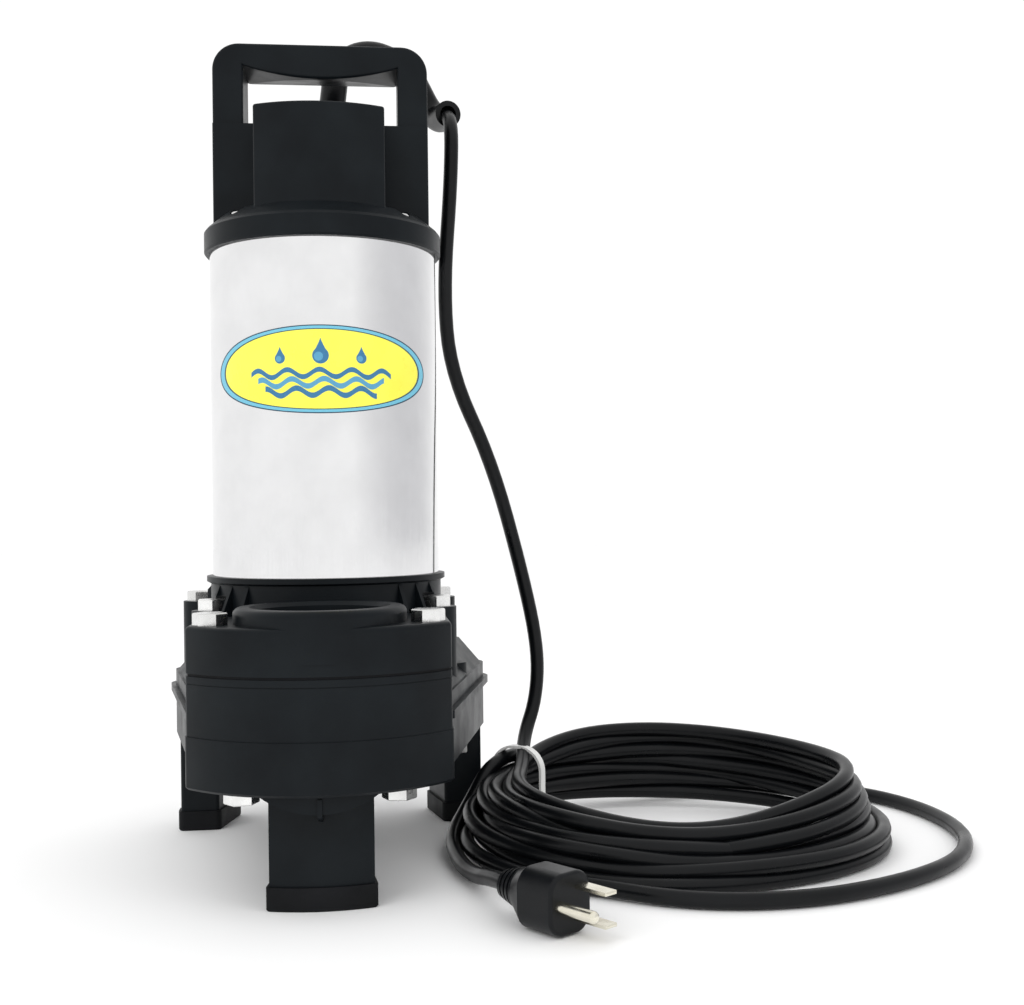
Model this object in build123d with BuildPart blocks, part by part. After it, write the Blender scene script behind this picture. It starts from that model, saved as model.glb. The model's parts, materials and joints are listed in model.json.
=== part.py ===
from build123d import *
import os
from math import cos, pi, radians, sin, sqrt, tan

# Submersible fountain pump with a vertical 2 inch outlet, in millimetres.
# Z is up, the outlet is at the front (-Y), and the floor under the feet is z = 0.
# The origin is the centre of the pump's footprint. Depths called "reach" and the
# y values in the lists below are counted from the motor shaft, which is SHAFT_Y behind it.

# ---------------------------------------------------------------- driving dimensions
SHELL_R = 56.0                  # stainless motor shell, outside
SHELL_T = 1.0
FRONT_REACH = 128.5             # front of the outlet block
REAR_REACH = 91.0               # back of the volute casing
BEAD = 2.5                      # bead round the casing joint
SHAFT_Y = (FRONT_REACH - REAR_REACH - BEAD) / 2

# levels above the floor
PAD_TOP = 10.3
LEG_FOOT = 6.0
CASE_BOTTOM = 52.0
PARTING = 73.5
GASKET_T = 1.0
UPPER_FLOOR = PARTING + GASKET_T
SHOULDER = 86.5
DECK = 100.0                    # top of the upper casing
FLANGE_BOTTOM = 101.2
FLANGE_TOP = 121.0
PORT_TOP = 128.0
RING_BOTTOM = 122.0
SHELL_BOTTOM = 138.0
SHELL_TOP = 302.0
RIM_BOTTOM = 296.5
RIM_BAND_TOP = 306.5
RIM_TOP = 313.8
GLAND_TOP = 330.0
COVER_TOP = 359.5               # top of the wings, under the handle
BOX_TOP = 361.0
HANDLE_TOP = 399.0

# outlet block and port (2 inch pipe thread)
BLOCK_HALF = 56.4
BLOCK_CORNER = 102.5
BLOCK_BACK = 50.0
PORT_Y = -91.5
PORT_R = 28.6
PORT_MOUTH_R = 30.4
BOSS_R = 37.5
WALL = 6.5

# bolts: M8 with 13 mm hexagon heads, each set with the turn of its heads
M8_R = 4.0
M8_HEX = 13.0
M8_HEAD = 5.3
BRACKET_BOLTS = [(-53.5, -30), (53.5, -30), (-68, 47), (57.5, 47)]
BRACKET_TURNS = [37, 27, 12, 40]
FLANGE_BOLTS = [(-46.5, -98), (46.5, -98)]
FLANGE_TURNS = [-3, 8]
CASING_SCREWS = [(-33, -108), (33, -108), (-62, -4), (62, -4), (0, 80)]
CASING_TURNS = [8, -8, 15, 40, 0]
LUG_R = 9.5
STRAINER_SCREWS = 3
STRAINER_SCREW_R = 34.0
LUG_TOP = 122.6

# motor
SHAFT_R = 8.5
ROTOR_R = 29.5
AIR_GAP = 0.5
STACK_BOTTOM = 170.0
STACK_TOP = 242.0
SLOTS = 24
RUNNING = 0.05                  # radial running clearance

COVER_SCREWS = [(38.3, 32.1), (-38.3, 32.1), (-38.3, -32.1), (38.3, -32.1)]

# handle
GRIP_HALF = 52.5
OPENING_HALF = 37.7
GRIP_DEPTH = 30.0
OPENING_TOP = 388.3
BELLY_BOTTOM = 382.4

# power cord
CORD_R = 3.7
BOOT_R = 6.9
COIL_X = 169.0
COIL_Y = -19.0
COIL_R = 105.0
COIL_EYE = 70.0
COIL_BACK = 46.0
COIL_FRONT = 27.0


def level(z, x=0.0, y=0.0):
    """Horizontal sketch plane at height z, its origin x and y away from the shaft."""
    return Plane(origin=(x, SHAFT_Y + y, z))


def upright(y=0.0, x=0.0, z=0.0):
    """Sketch plane facing the front, at depth y from the shaft; sketch Y is up."""
    return Plane(origin=(x, SHAFT_Y + y, z), x_dir=(1, 0, 0), z_dir=(0, -1, 0))


def radial(angle=-90.0):
    """Sketch plane through the shaft; sketch X is the radius, sketch Y is the height."""
    out = (cos(radians(angle)), sin(radians(angle)), 0)
    normal = (out[1], -out[0], 0)
    return Plane(origin=(0, SHAFT_Y, 0), x_dir=out, z_dir=normal)


SHAFT_AXIS = Axis((0, SHAFT_Y, 0), (0, 0, 1))


def from_shaft(points):
    """Turn points counted from the shaft into points of the part's frame."""
    return [(x, y + SHAFT_Y, z) for x, y, z in points]


def casing_outline(grow=0.0):
    """Plan of the volute casing: flared sides, rear corners over the legs, arched back."""
    with BuildSketch(mode=Mode.PRIVATE) as plan:
        with BuildLine():
            Line((-BLOCK_HALF, -78), (BLOCK_HALF, -78))
            Polyline((BLOCK_HALF, -78), (82.5, 50), (72, 84))
            ThreePointArc((72, 84), (0, REAR_REACH), (-72, 84))
            Polyline((-72, 84), (-82.5, 50), (-BLOCK_HALF, -78))
        make_face()
        fillet(plan.vertices().sort_by(Axis.Y)[2:], radius=14)
        if grow:
            offset(amount=grow)
    return plan.sketch


def block_outline(grow=0.0):
    """Plan of the outlet block: straight sides and a bowed front."""
    with BuildSketch(mode=Mode.PRIVATE) as plan:
        with BuildLine():
            Polyline((-BLOCK_HALF, -BLOCK_CORNER), (-BLOCK_HALF, -BLOCK_BACK), (BLOCK_HALF, -BLOCK_BACK),
                     (BLOCK_HALF, -BLOCK_CORNER))
            ThreePointArc((BLOCK_HALF, -BLOCK_CORNER), (0, -FRONT_REACH), (-BLOCK_HALF, -BLOCK_CORNER))
        make_face()
        fillet(plan.vertices().group_by(Axis.Y)[0], radius=3)
        if grow:
            offset(amount=grow)
    return plan.sketch


def front_leg_outline(grow=0.0):
    """Plan of the front leg, with a gently bowed front."""
    with BuildSketch(mode=Mode.PRIVATE) as plan:
        with BuildLine():
            Polyline((-22.3, -105), (-19, -78), (19, -78), (22.3, -105))
            ThreePointArc((22.3, -105), (0, -108.5), (-22.3, -105))
        make_face()
        if grow:
            offset(amount=grow)
    return plan.sketch


def rear_leg_outline(side, grow=0.0):
    """Plan of a rear leg, whose inner side slants; side is -1 for left and 1 for right."""
    corners = [(60.5, 47.6), (80.3, 47.6), (80.6, 56), (72.5, 80), (52.8, 82)]
    with BuildSketch(mode=Mode.PRIVATE) as plan:
        with BuildLine():
            Polyline([(side * x, y) for x, y in corners], close=True)
        make_face()
        fillet(plan.vertices(), radius=2)
        if grow:
            offset(amount=grow)
    return plan.sketch


def hex_bolts(places, turns, seat, length, up=True):
    """M8 hexagon bolts as separate solids, heads on the seat level and shanks into the joint."""
    outward = 1 if up else -1
    with BuildPart(mode=Mode.PRIVATE) as bolts:
        for (x, y), turn in zip(places, turns):
            with BuildSketch(level(seat, x, y)):
                RegularPolygon(M8_HEX / 2, 6, major_radius=False, rotation=turn)
            extrude(amount=outward * M8_HEAD)
            with BuildSketch(level(seat, x, y)):
                Circle(M8_R)
            extrude(amount=-outward * length)
        tops = bolts.faces().filter_by(Axis.Z).group_by(Axis.Z)[-1 if up else 0]
        chamfer(tops.edges(), length=0.5)
    return bolts.part


def foot(outline):
    """Rubber foot: a cup that the leg stands in."""
    with BuildPart(mode=Mode.PRIVATE) as cup:
        with BuildSketch(level(0)):
            add(outline(1.3))
        extrude(amount=PAD_TOP)
        with BuildSketch(level(LEG_FOOT)):
            add(outline(0))
        extrude(amount=PAD_TOP, mode=Mode.SUBTRACT)
        chamfer(cup.faces().sort_by(Axis.Z)[0].edges(), length=0.8)
    return cup.part


# ---------------------------------------------------------------- pump casing
with BuildPart() as lower_casing:
    with BuildSketch(level(CASE_BOTTOM)):
        add(casing_outline())
    extrude(amount=PARTING - CASE_BOTTOM)
    with BuildSketch(level(CASE_BOTTOM)):
        add(block_outline(0.5))
    extrude(amount=PARTING - CASE_BOTTOM)
    chamfer(lower_casing.faces().sort_by(Axis.Z)[0].outer_wire().edges(), length=1.2)
    # volute chamber and the pocket under the outlet
    with BuildSketch(level(CASE_BOTTOM + 5)):
        add(casing_outline(-WALL))
        with Locations((0, PORT_Y)):
            Circle(31)
    extrude(amount=PARTING, mode=Mode.SUBTRACT)
    # suction eye
    with BuildSketch(level(CASE_BOTTOM)):
        Circle(27)
    extrude(amount=10, mode=Mode.SUBTRACT)
    # rounded underside of the outlet elbow, and the front leg with its middle rib
    with BuildSketch(upright(-FRONT_REACH + 7)):
        with BuildLine():
            ThreePointArc((-25, CASE_BOTTOM), (0, 43.5), (25, CASE_BOTTOM))
            Polyline((25, CASE_BOTTOM), (25, CASE_BOTTOM + 3), (-25, CASE_BOTTOM + 3), (-25, CASE_BOTTOM))
        make_face()
    extrude(amount=-50)
    with BuildSketch(level(LEG_FOOT)):
        add(front_leg_outline())
    extrude(amount=CASE_BOTTOM - LEG_FOOT + 1)
    with BuildSketch(Plane.YZ.offset(-1)):
        with BuildLine():
            Polyline((SHAFT_Y - 122.6, 50), (SHAFT_Y - 122.6, 42.5), (SHAFT_Y - 107.5, 37.5),
                     (SHAFT_Y - 107.5, 50), close=True)
        make_face()
    extrude(amount=2)
    for side in (-1, 1):
        with BuildSketch(level(LEG_FOOT)):
            add(rear_leg_outline(side))
        extrude(amount=CASE_BOTTOM - LEG_FOOT + 1)
    # bosses inside the chamber for the casing screws, and holes through them
    with BuildSketch(level(CASE_BOTTOM + 4)):
        with Locations(*CASING_SCREWS[2:]):
            Circle(7.5)
    extrude(amount=PARTING - CASE_BOTTOM - 4)
    with BuildSketch(level(CASE_BOTTOM)):
        with Locations(*CASING_SCREWS):
            Circle(M8_R + 0.2)
    extrude(amount=PARTING, mode=Mode.SUBTRACT)
    # lip that hides the gasket round the outlet block
    with BuildSketch(level(PARTING)):
        add(block_outline(0.5))
        add(block_outline(-0.6), mode=Mode.SUBTRACT)
        Rectangle(200, 156, mode=Mode.SUBTRACT)
    extrude(amount=GASKET_T)
    # blind holes for the strainer screws
    with BuildSketch(level(CASE_BOTTOM)):
        with PolarLocations(STRAINER_SCREW_R, STRAINER_SCREWS, start_angle=30):
            Circle(2.1)
    extrude(amount=4.5, mode=Mode.SUBTRACT)
lower_casing.part.label = "lower_casing"

with BuildPart() as casing_gasket:
    with BuildSketch(level(PARTING)):
        add(casing_outline(-0.6))
        add(block_outline(-0.6))
        add(casing_outline(-WALL), mode=Mode.SUBTRACT)
        with Locations((0, PORT_Y)):
            Circle(31, mode=Mode.SUBTRACT)
        with Locations(*CASING_SCREWS[2:]):
            Circle(7.5)
        with Locations(*CASING_SCREWS):
            Circle(M8_R + 0.3, mode=Mode.SUBTRACT)
    extrude(amount=GASKET_T)
casing_gasket.part.label = "casing_gasket"

with BuildPart() as upper_casing:
    # side walls, sloping shoulder and flat deck
    with BuildSketch(level(UPPER_FLOOR)):
        add(casing_outline())
    extrude(amount=SHOULDER - UPPER_FLOOR)
    with BuildSketch(level(SHOULDER)):
        add(casing_outline(-1.5))
    with BuildSketch(level(DECK)):
        add(casing_outline(-13))
    loft()
    with BuildSketch(level(UPPER_FLOOR)):
        add(block_outline())
    extrude(amount=DECK - UPPER_FLOOR)
    # bead round the joint
    with BuildSketch(level(UPPER_FLOOR + 1)):
        add(casing_outline(BEAD))
    extrude(amount=3.6)
    # lugs under the motor bracket
    with BuildSketch(level(UPPER_FLOOR + 2)):
        with Locations(*BRACKET_BOLTS):
            Circle(LUG_R)
    extrude(amount=DECK - UPPER_FLOOR - 2)
    # volute chamber, riser to the outlet and register for the bracket
    with BuildSketch(level(UPPER_FLOOR)):
        add(casing_outline(-WALL))
        with Locations((0, PORT_Y)):
            Circle(31)
    extrude(amount=9, mode=Mode.SUBTRACT)
    with BuildSketch(level(UPPER_FLOOR)):
        add(casing_outline(-WALL - 15))
    extrude(amount=18, mode=Mode.SUBTRACT)
    with BuildSketch(level(UPPER_FLOOR)):
        with Locations((0, PORT_Y)):
            Circle(31)
        Circle(40)
    extrude(amount=DECK, mode=Mode.SUBTRACT)
    # bosses for the casing screws and the bracket bolts inside the chamber
    with BuildSketch(level(UPPER_FLOOR)):
        with Locations(*CASING_SCREWS[2:], *BRACKET_BOLTS[:2], BRACKET_BOLTS[3]):
            Circle(7.5)
    extrude(amount=18)
    with BuildSketch(level(UPPER_FLOOR)):
        with Locations(*CASING_SCREWS):
            Circle(M8_R + 0.05)
    extrude(amount=12, mode=Mode.SUBTRACT)
    with BuildSketch(level(UPPER_FLOOR)):
        with Locations(*BRACKET_BOLTS):
            Circle(M8_R + 0.05)
    extrude(amount=DECK, mode=Mode.SUBTRACT)
    with BuildSketch(level(DECK)):
        with Locations(*FLANGE_BOLTS):
            Circle(M8_R + 0.05)
    extrude(amount=-18, mode=Mode.SUBTRACT)
    # shadow line under the edge of the outlet block
    with BuildSketch(level(DECK - 3.4)):
        add(block_outline(1))
        add(block_outline(-0.4), mode=Mode.SUBTRACT)
        Rectangle(200, 156, mode=Mode.SUBTRACT)
    extrude(amount=0.5, mode=Mode.SUBTRACT)
upper_casing.part.label = "upper_casing"

with BuildPart() as casing_screws:
    add(hex_bolts(CASING_SCREWS, CASING_TURNS, CASE_BOTTOM, 33, up=False))
casing_screws.part.label = "casing_screws"

# ---------------------------------------------------------------- outlet
with BuildPart() as discharge_gasket:
    with BuildSketch(level(DECK)):
        add(block_outline(-0.8))
        with Locations((0, PORT_Y)):
            Circle(30, mode=Mode.SUBTRACT)
        with Locations(*FLANGE_BOLTS):
            Circle(M8_R + 0.3, mode=Mode.SUBTRACT)
    extrude(amount=FLANGE_BOTTOM - DECK)
discharge_gasket.part.label = "discharge_gasket"

with BuildPart() as discharge_flange:
    with BuildSketch(level(FLANGE_BOTTOM)):
        add(block_outline())
    extrude(amount=FLANGE_TOP - FLANGE_BOTTOM)
    fillet(discharge_flange.faces().sort_by(Axis.Z)[-1].edges(), radius=2)
    with BuildSketch(level(FLANGE_BOTTOM + 5, 0, PORT_Y)):
        Circle(BOSS_R)
    extrude(amount=PORT_TOP - FLANGE_BOTTOM - 5)
    fillet(discharge_flange.faces().sort_by(Axis.Z)[-1].edges(), radius=3)
    with BuildSketch(level(FLANGE_BOTTOM, 0, PORT_Y)):
        Circle(PORT_R)
    extrude(amount=PORT_TOP, mode=Mode.SUBTRACT)
    port_rim = discharge_flange.faces().sort_by(Axis.Z)[-1].inner_wires()[0].edges()
    chamfer(port_rim, length=PORT_MOUTH_R - PORT_R)
    # relief behind the boss, so that it clears the motor bracket
    with BuildSketch(level(118.5)):
        Circle(60)
    extrude(amount=20, mode=Mode.SUBTRACT)
    with BuildSketch(level(FLANGE_BOTTOM)):
        with Locations(*FLANGE_BOLTS):
            Circle(M8_R + 0.2)
    extrude(amount=40, mode=Mode.SUBTRACT)
discharge_flange.part.label = "discharge_flange"

with BuildPart() as flange_bolts:
    add(hex_bolts(FLANGE_BOLTS, FLANGE_TURNS, FLANGE_TOP, 36))
flange_bolts.part.label = "flange_bolts"

# ---------------------------------------------------------------- inlet and feet
with BuildPart() as wear_plate:
    with BuildSketch(level(CASE_BOTTOM + 5)):
        Circle(54)
        Circle(25, mode=Mode.SUBTRACT)
    extrude(amount=2)
wear_plate.part.label = "wear_plate"

STRAINER_R = 40.0
STRAINER_BOTTOM = 40.0
with BuildPart() as suction_strainer:
    with BuildSketch(level(STRAINER_BOTTOM)):
        Circle(STRAINER_R)
    extrude(amount=CASE_BOTTOM - STRAINER_BOTTOM)
    fillet(suction_strainer.faces().sort_by(Axis.Z)[0].edges(), radius=2)
    with BuildSketch(level(STRAINER_BOTTOM + 2.2)):
        Circle(STRAINER_R - 2.2)
    extrude(amount=20, mode=Mode.SUBTRACT)
    # inlet slots round the wall and in the floor
    with BuildSketch(level(STRAINER_BOTTOM + 4)):
        with PolarLocations(STRAINER_R, 24):
            Rectangle(8, 4)
    extrude(amount=6, mode=Mode.SUBTRACT)
    with BuildSketch(level(STRAINER_BOTTOM - 1)):
        for ring_r, count in ((10, 8), (19, 14), (28, 20)):
            with PolarLocations(ring_r, count):
                Circle(2.2)
    extrude(amount=5, mode=Mode.SUBTRACT)
    with BuildSketch(level(STRAINER_BOTTOM + 2)):
        with PolarLocations(STRAINER_SCREW_R, STRAINER_SCREWS, start_angle=30):
            Circle(4)
    extrude(amount=CASE_BOTTOM - STRAINER_BOTTOM - 2)
    with BuildSketch(level(STRAINER_BOTTOM)):
        with PolarLocations(STRAINER_SCREW_R, STRAINER_SCREWS, start_angle=30):
            Circle(2.1)
    extrude(amount=20, mode=Mode.SUBTRACT)
suction_strainer.part.label = "suction_strainer"

with BuildPart() as strainer_screws:
    with BuildSketch(level(STRAINER_BOTTOM - 2)):
        with PolarLocations(STRAINER_SCREW_R, STRAINER_SCREWS, start_angle=30):
            Circle(3.8)
    extrude(amount=2)
    fillet(strainer_screws.faces().sort_by(Axis.Z)[:STRAINER_SCREWS].edges(), radius=0.9)
    with BuildSketch(level(STRAINER_BOTTOM)):
        with PolarLocations(STRAINER_SCREW_R, STRAINER_SCREWS, start_angle=30):
            Circle(2)
    extrude(amount=CASE_BOTTOM - STRAINER_BOTTOM)
strainer_screws.part.label = "strainer_screws"

with BuildPart() as foot_front:
    add(foot(front_leg_outline))
foot_front.part.label = "foot_front"

with BuildPart() as foot_rear_left:
    add(foot(lambda grow: rear_leg_outline(-1, grow)))
foot_rear_left.part.label = "foot_rear_left"

with BuildPart() as foot_rear_right:
    add(foot(lambda grow: rear_leg_outline(1, grow)))
foot_rear_right.part.label = "foot_rear_right"

# ---------------------------------------------------------------- motor bracket and seals
SEAL_TOP = 112.0
LOWER_BEARING = 124.0           # underside of the lower bearing
UPPER_BEARING = 276.0           # underside of the upper bearing
BEARING_BORE = 8.5
BEARING_R = 20.0
BEARING_WIDTH = 12.0
BALL_R = 3.37
BALL_CIRCLE = 14.25
BALLS = 8

with BuildPart() as motor_bracket:
    with BuildSketch(radial()):
        with BuildLine():
            Polyline((0, 93), (39.9, 93), (39.9, DECK), (45, DECK), (45, 117), (57, RING_BOTTOM),
                     (57, 134.5), (59, 135.5), (59, SHELL_BOTTOM), (54.9, SHELL_BOTTOM), (54.9, 147),
                     (48, 147), (48, 130), (27, 130), (27, LOWER_BEARING + BEARING_WIDTH),
                     (0, LOWER_BEARING + BEARING_WIDTH), close=True)
        make_face()
    revolve(axis=SHAFT_AXIS)
    # bolt lugs, tied to the neck
    with BuildSketch(level(DECK)):
        with Locations(*BRACKET_BOLTS):
            Circle(LUG_R)
    extrude(amount=LUG_TOP - DECK)
    for lug_x, lug_y in BRACKET_BOLTS:
        lug_reach = sqrt(lug_x ** 2 + lug_y ** 2)
        heading = Vector(lug_x, lug_y, 0) / lug_reach
        web = Plane(origin=(0, SHAFT_Y, 0), x_dir=heading, z_dir=heading.cross(Vector(0, 0, 1)))
        with BuildSketch(web):
            with BuildLine():
                Polyline((44, DECK), (lug_reach, DECK), (lug_reach, 117), (44, 117), close=True)
            make_face()
        extrude(amount=5, both=True)
    # tall webs over the rear lugs
    for lug_x, lug_y in BRACKET_BOLTS[2:]:
        lug_reach = sqrt(lug_x ** 2 + lug_y ** 2)
        heading = Vector(lug_x, lug_y, 0) / lug_reach
        web = Plane(origin=(0, SHAFT_Y, 0), x_dir=heading, z_dir=heading.cross(Vector(0, 0, 1)))
        with BuildSketch(web):
            with BuildLine():
                Polyline((50, 112), (lug_reach - 9, 112), (lug_reach - 9, 129), (lug_reach - 12, 131.5),
                         (56, 134), (50, 134), close=True)
            make_face()
        extrude(amount=5.5, both=True)
    # thin gussets round the ring, in threes beside the front and the back
    for middle in (-90, 90):
        for swing in (-62, -50, -38.5, 38.5, 50, 62):
            with BuildSketch(radial(middle + swing)):
                with BuildLine():
                    Polyline((44, 108), (62.5, 119), (62.5, 121.5), (57, 134.4), (50, 134.4), close=True)
                make_face()
            extrude(amount=1, both=True)
    # seal chamber, lip seal seat, shaft way and bearing pocket
    for bore_r, low, high in ((16.5, 92, SEAL_TOP), (14, SEAL_TOP - 1, 119), (10.5, 118, 125),
                              (BEARING_R, LOWER_BEARING, 140)):
        with BuildSketch(level(low)):
            Circle(bore_r)
        extrude(amount=high - low, mode=Mode.SUBTRACT)
    # groove for the shell's seal ring
    with BuildSketch(radial()):
        with Locations((53.9, 143)):
            Rectangle(3, 3)
    revolve(axis=SHAFT_AXIS, mode=Mode.SUBTRACT)
    # bolt holes, and pockets in the ring beside the bolt heads
    with BuildSketch(level(DECK)):
        with Locations(*BRACKET_BOLTS):
            Circle(M8_R + 0.2)
    extrude(amount=LUG_TOP - DECK, mode=Mode.SUBTRACT)
    with BuildSketch(level(LUG_TOP)):
        with Locations(*BRACKET_BOLTS):
            Circle(8.2)
    extrude(amount=M8_HEAD + 1.4, mode=Mode.SUBTRACT)
motor_bracket.part.label = "motor_bracket"

with BuildPart() as bracket_bolts:
    add(hex_bolts(BRACKET_BOLTS, BRACKET_TURNS, LUG_TOP, 46))
bracket_bolts.part.label = "bracket_bolts"


def ring(inner, outer, low, high):
    """Plain ring round the shaft, between two levels."""
    with BuildPart(mode=Mode.PRIVATE) as solid:
        with BuildSketch(level(low)):
            Circle(outer)
            Circle(inner, mode=Mode.SUBTRACT)
        extrude(amount=high - low)
    return solid.part


def seal_ring(section_r, centre_r, z):
    """O-ring round the shaft axis."""
    with BuildPart(mode=Mode.PRIVATE) as solid:
        with BuildSketch(radial()):
            with Locations((centre_r, z)):
                Circle(section_r)
        revolve(axis=SHAFT_AXIS)
    return solid.part


with BuildPart() as seal_seat:
    add(ring(9.4, 16.5, 105, SEAL_TOP - 1))
seal_seat.part.label = "seal_seat"

with BuildPart() as shaft_lip_seal:
    with BuildSketch(radial()):
        with BuildLine():
            Polyline((14, SEAL_TOP), (14, 118), (10.2, 118), (8.8, 115.6), (8.8, 115.2), (10.2, 113.6),
                     (12.6, 115), (12.6, SEAL_TOP), close=True)
        make_face()
    revolve(axis=SHAFT_AXIS)
shaft_lip_seal.part.label = "shaft_lip_seal"

with BuildPart() as seal_head:
    with BuildSketch(radial()):
        with BuildLine():
            Polyline((8.5, 97), (11.5, 97), (11.5, 100), (14, 101), (14, 104.9), (8.5, 104.9), close=True)
        make_face()
    revolve(axis=SHAFT_AXIS)
seal_head.part.label = "seal_head"

with BuildPart() as seal_spring:
    with BuildLine(Plane(origin=(0, SHAFT_Y, 88.6))) as coil_line:
        Helix(pitch=2.6, height=7.4, radius=10.2)
    with BuildSketch(Plane(origin=coil_line.line @ 0, z_dir=coil_line.line % 0)):
        Circle(0.7)
    sweep(path=coil_line.line, is_frenet=True)
seal_spring.part.label = "seal_spring"


# ---------------------------------------------------------------- shaft and bearings
def race(inner, outer, base):
    """Bearing race: a ring with the balls' running groove turned into it."""
    with BuildPart(mode=Mode.PRIVATE) as solid:
        add(ring(inner, outer, base, base + BEARING_WIDTH))
        with BuildSketch(radial()):
            with Locations((BALL_CIRCLE, base + BEARING_WIDTH / 2)):
                Circle(BALL_R + RUNNING)
        revolve(axis=SHAFT_AXIS, mode=Mode.SUBTRACT)
        chamfer(solid.faces().filter_by(Axis.Z).edges(), length=0.4)
    return solid.part


def ball_set(base):
    """The balls and their crown cage, as separate solids."""
    middle = base + BEARING_WIDTH / 2
    with BuildPart(mode=Mode.PRIVATE) as balls:
        add(ring(BALL_CIRCLE - 1.6, BALL_CIRCLE + 1.6, middle - 4.6, middle - 0.3))
        with Locations(level(middle)):
            with PolarLocations(BALL_CIRCLE, BALLS):
                Sphere(BALL_R + RUNNING, mode=Mode.SUBTRACT)
                Sphere(BALL_R)
    return balls.part


with BuildPart() as lower_bearing_outer_race:
    add(race(BALL_CIRCLE + 2.6, BEARING_R, LOWER_BEARING))
lower_bearing_outer_race.part.label = "lower_bearing_outer_race"

with BuildPart() as lower_bearing_inner_race:
    add(race(BEARING_BORE, BALL_CIRCLE - 2.6, LOWER_BEARING))
lower_bearing_inner_race.part.label = "lower_bearing_inner_race"

with BuildPart() as lower_bearing_balls:
    add(ball_set(LOWER_BEARING))
lower_bearing_balls.part.label = "lower_bearing_balls"

with BuildPart() as upper_bearing_outer_race:
    add(race(BALL_CIRCLE + 2.6, BEARING_R, UPPER_BEARING))
upper_bearing_outer_race.part.label = "upper_bearing_outer_race"

with BuildPart() as upper_bearing_inner_race:
    add(race(BEARING_BORE, BALL_CIRCLE - 2.6, UPPER_BEARING))
upper_bearing_inner_race.part.label = "upper_bearing_inner_race"

with BuildPart() as upper_bearing_balls:
    add(ball_set(UPPER_BEARING))
upper_bearing_balls.part.label = "upper_bearing_balls"

with BuildPart() as motor_shaft:
    with BuildSketch(radial()):
        with BuildLine():
            Polyline((0, 58), (4.9, 58), (4.9, 68), (6, 68), (6, 88), (SHAFT_R, 88), (SHAFT_R, 136),
                     (10, 136), (10, UPPER_BEARING), (BEARING_BORE, UPPER_BEARING), (BEARING_BORE, 289),
                     (0, 289), close=True)
        make_face()
    revolve(axis=SHAFT_AXIS)
    # keyway for the impeller
    with BuildSketch(level(70, 0, -5)):
        Rectangle(4, 4)
    extrude(amount=14, mode=Mode.SUBTRACT)
    chamfer(motor_shaft.faces().sort_by(Axis.Z)[0].edges(), length=0.6)
motor_shaft.part.label = "motor_shaft"

# ---------------------------------------------------------------- impeller
HUB_R = 11.0
SHROUD_R = 47.0
VANES = 6


def vane(start):
    """Plan of one backward-curved vane, starting at the hub at the given angle."""
    path = [(9, start), (29, start - 22), (45.5, start - 62)]
    with BuildSketch(mode=Mode.PRIVATE) as plan:
        with BuildLine():
            ThreePointArc(*[(r * cos(radians(angle)), r * sin(radians(angle))) for r, angle in path])
        trace(line_width=3)
    return plan.sketch


with BuildPart() as impeller:
    add(ring(6, SHROUD_R, 80, 83))
    add(ring(6, HUB_R, 70, 86))
    with BuildSketch(level(60.5)):
        for number in range(VANES):
            add(vane(360 / VANES * number))
        Circle(HUB_R, mode=Mode.SUBTRACT)
    extrude(amount=20)
    with BuildSketch(level(70, 0, -5)):
        Rectangle(4, 6)
    extrude(amount=14, mode=Mode.SUBTRACT)
impeller.part.label = "impeller"

with BuildPart() as impeller_key:
    with BuildSketch(level(70.2, 0, -5.4)):
        Rectangle(3.96, 4.6)
    extrude(amount=13.6)
impeller_key.part.label = "impeller_key"

with BuildPart() as impeller_nut:
    with BuildSketch(level(61.5)):
        RegularPolygon(8, 6, major_radius=False)
        Circle(4.9, mode=Mode.SUBTRACT)
    extrude(amount=6)
    with BuildSketch(level(67.6)):
        Circle(9.5)
        Circle(4.9, mode=Mode.SUBTRACT)
    extrude(amount=0.35)
impeller_nut.part.label = "impeller_nut"

# ---------------------------------------------------------------- motor
with BuildPart() as rotor_core:
    add(ring(10, ROTOR_R, STACK_BOTTOM, STACK_TOP))
    with BuildSketch(level(STACK_BOTTOM)):
        with PolarLocations(25.5, 20):
            Circle(2)
    extrude(amount=STACK_TOP - STACK_BOTTOM, mode=Mode.SUBTRACT)
rotor_core.part.label = "rotor_core"

with BuildPart() as rotor_cage:
    add(ring(19, ROTOR_R - 0.5, STACK_BOTTOM - 6, STACK_BOTTOM))
    add(ring(19, ROTOR_R - 0.5, STACK_TOP, STACK_TOP + 6))
    with BuildSketch(level(STACK_BOTTOM - 1)):
        with PolarLocations(25.5, 20):
            Circle(1.98)
    extrude(amount=STACK_TOP - STACK_BOTTOM + 2)
rotor_cage.part.label = "rotor_cage"

with BuildPart() as stator_core:
    add(ring(ROTOR_R + AIR_GAP, SHELL_R - SHELL_T - 0.1, STACK_BOTTOM, STACK_TOP))
    with BuildSketch(level(STACK_BOTTOM)):
        with PolarLocations(38, SLOTS):
            Rectangle(12, 4)
        with PolarLocations(31.5, SLOTS):
            Rectangle(4, 1.6)
    extrude(amount=STACK_TOP - STACK_BOTTOM, mode=Mode.SUBTRACT)
stator_core.part.label = "stator_core"

with BuildPart() as stator_windings:
    for low, high in ((STACK_BOTTOM - 18, STACK_BOTTOM), (STACK_TOP, STACK_TOP + 18)):
        add(ring(33, 48, low, high))
    fillet(stator_windings.faces().filter_by(Axis.Z).group_by(Axis.Z)[0].edges(), radius=4)
    fillet(stator_windings.faces().filter_by(Axis.Z).group_by(Axis.Z)[-1].edges(), radius=4)
    with BuildSketch(level(STACK_BOTTOM - 1)):
        with PolarLocations(38, SLOTS):
            Rectangle(9.6, 3.9)
    extrude(amount=STACK_TOP - STACK_BOTTOM + 2)
stator_windings.part.label = "stator_windings"

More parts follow.
